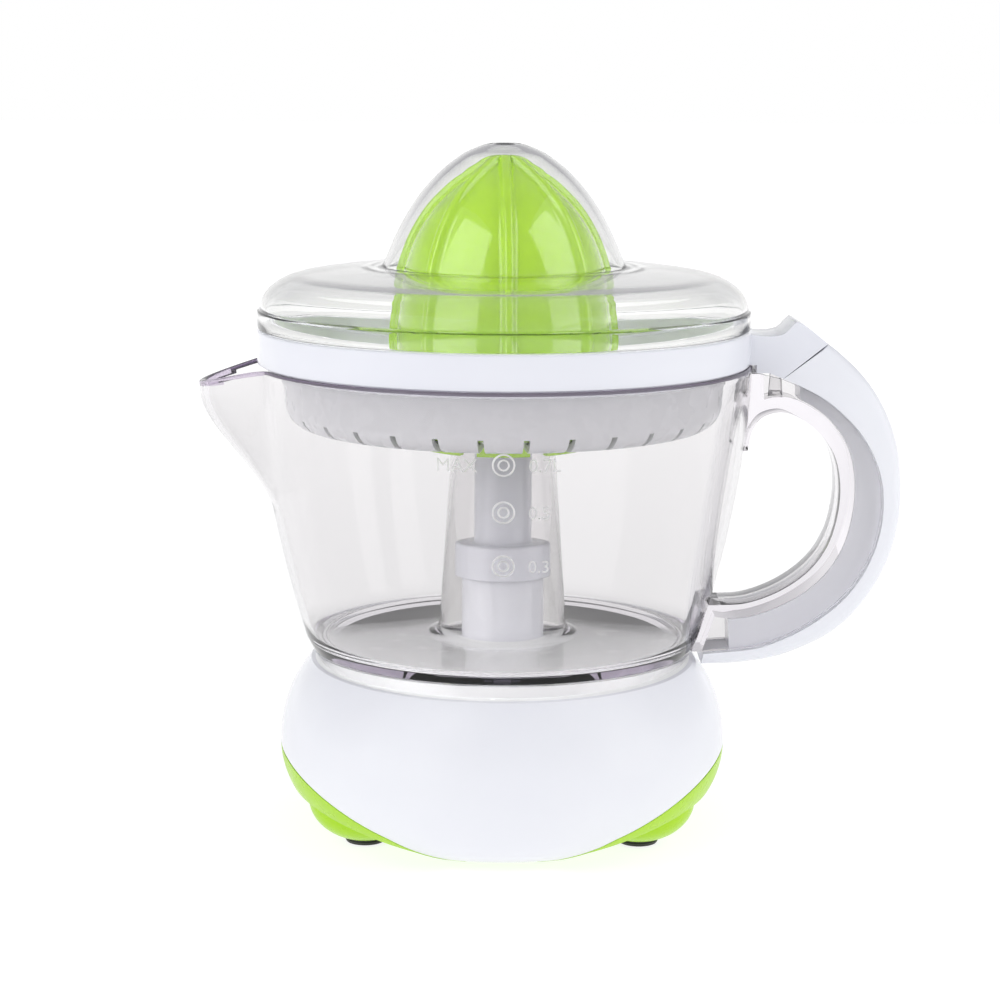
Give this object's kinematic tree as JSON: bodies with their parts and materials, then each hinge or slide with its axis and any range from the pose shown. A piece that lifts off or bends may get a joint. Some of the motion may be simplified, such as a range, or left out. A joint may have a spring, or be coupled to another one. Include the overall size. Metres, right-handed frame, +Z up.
{
  "type": "citrus press juicer",
  "caption": "Electric citrus press with a motor base, clear jug with spout and handle, slotted strainer, ribbed reamer cones and a clear domed lid.",
  "frame": {"origin": "on the table at the middle of the footprint; the drive axis of base, jug, cones and lid stands at x = -0.01407", "axes": "+Z up, parallel to the drive axis, the handle towards +X, the spout towards -X, the front towards -Y"},
  "size_m": [0.2146, 0.1516, 0.2113],
  "materials": {
    "white_plastic": "gloss moulded ABS",
    "lime_plastic": "gloss moulded ABS",
    "clear_plastic": "clear moulded styrene-acrylonitrile",
    "black_rubber": "matt rubber",
    "steel": "plain steel",
    "brass": "machined brass",
    "bronze": "sintered bronze",
    "copper_winding": "varnished copper winding",
    "laminated_iron": "laminated iron",
    "ferrite": "ferrite magnet",
    "nylon": "natural nylon",
    "black_plastic": "matt moulded plastic",
    "red_button": "matt moulded plastic"
  },
  "bodies": {
    "base": {"upper_casing": "white_plastic", "lower_casing": "lime_plastic", "foot_front_left": "black_rubber", "foot_front_right": "black_rubber", "foot_rear_left": "black_rubber", "foot_rear_right": "black_rubber", "cord_gland": "black_rubber", "casing_screw_1": "steel", "casing_screw_2": "steel", "casing_screw_3": "steel", "gearbox_screw_1": "steel", "gearbox_screw_2": "steel", "gearbox_screw_3": "steel", "idler_pin": "steel", "gearbox_housing": "black_plastic", "gearbox_cover": "black_plastic", "stator_core": "laminated_iron", "motor_screw_1": "steel", "motor_screw_2": "steel", "coil_front": "copper_winding", "coil_rear": "copper_winding", "motor_strap": "steel", "rotor_bush": "bronze", "upper_bush": "bronze", "lower_bush": "bronze", "switch_body": "black_plastic"},
    "output": {"output_gear": "nylon"},
    "spindle": {"spindle_rod": "steel", "drive_spindle": "white_plastic", "return_spring": "steel"},
    "idler": {"idler_gear": "nylon"},
    "rotor": {"magnet_rotor": "ferrite", "rotor_shaft": "steel", "rotor_pinion": "brass"},
    "button": {"switch_button": "red_button"},
    "jug": {"jug": "clear_plastic", "handle_cover": "white_plastic"},
    "strainer": {"strainer": "white_plastic"},
    "pulp_disc": {"pulp_disc": "lime_plastic"},
    "bush": {"hub_bush": "nylon"},
    "small_cone": {"small_cone": "lime_plastic"},
    "large_cone": {"large_cone": "lime_plastic"},
    "lid": {"lid": "clear_plastic"}
  },
  "joints": [
    {"name": "drive_spin", "type": "hinge", "parent": "base", "child": "output", "pos_m": [-0.01407, 0, 0.045], "axis": [0, 0, 1], "continuous": true},
    {"name": "spindle_press", "type": "slide", "parent": "output", "child": "spindle", "axis": [0, 0, -1], "range_m": [0, 0.0025], "stiffness_N_per_m": 1200, "springref_m": -0.001, "deforming": ["return_spring"]},
    {"name": "idler_spin", "type": "hinge", "parent": "base", "child": "idler", "pos_m": [-0.04347, 0, 0.04], "axis": [0, 0, 1], "continuous": true},
    {"name": "rotor_spin", "type": "hinge", "parent": "base", "child": "rotor", "pos_m": [-0.03681, 0.02485, 0.0235], "axis": [0, 0, 1], "continuous": true},
    {"name": "button_press", "type": "slide", "parent": "base", "child": "button", "axis": [0, 0, -1], "range_m": [0, 0.0025]},
    {"name": "jug_lift", "type": "slide", "parent": "base", "child": "jug", "axis": [0, 0, 1], "range_m": [0, 0.118]},
    {"name": "strainer_lift", "type": "slide", "parent": "jug", "child": "strainer", "axis": [0, 0, 1], "range_m": [0, 0.052]},
    {"name": "disc_turn", "type": "hinge", "parent": "strainer", "child": "pulp_disc", "pos_m": [-0.01407, 0, 0.1295], "axis": [0, 0, 1], "range_deg": [0, 5.62]},
    {"name": "cone_spin", "type": "hinge", "parent": "strainer", "child": "bush", "pos_m": [-0.01407, 0, 0.1435], "axis": [0, 0, 1], "continuous": true},
    {"name": "cone_press", "type": "slide", "parent": "bush", "child": "small_cone", "axis": [0, 0, -1], "range_m": [0, 0.0025]},
    {"name": "lid_lift", "type": "slide", "parent": "strainer", "child": "lid", "axis": [0, 0, 1], "range_m": [0, 0.105]},
    {"name": "cone_lift", "type": "slide", "parent": "small_cone", "child": "large_cone", "axis": [0, 0, 1], "range_m": [0, 0.0463]}
  ],
  "couplings": [
    {"joint": "idler_spin", "follows": "drive_spin", "ratio": -4.4444},
    {"joint": "rotor_spin", "follows": "drive_spin", "ratio": 19.753},
    {"joint": "cone_spin", "follows": "drive_spin", "ratio": 1},
    {"joint": "button_press", "follows": "spindle_press", "ratio": 1},
    {"joint": "cone_press", "follows": "spindle_press", "ratio": 1},
    {"joint": "cone_lift", "follows": "lid_lift", "ratio": 0.44}
  ]
}
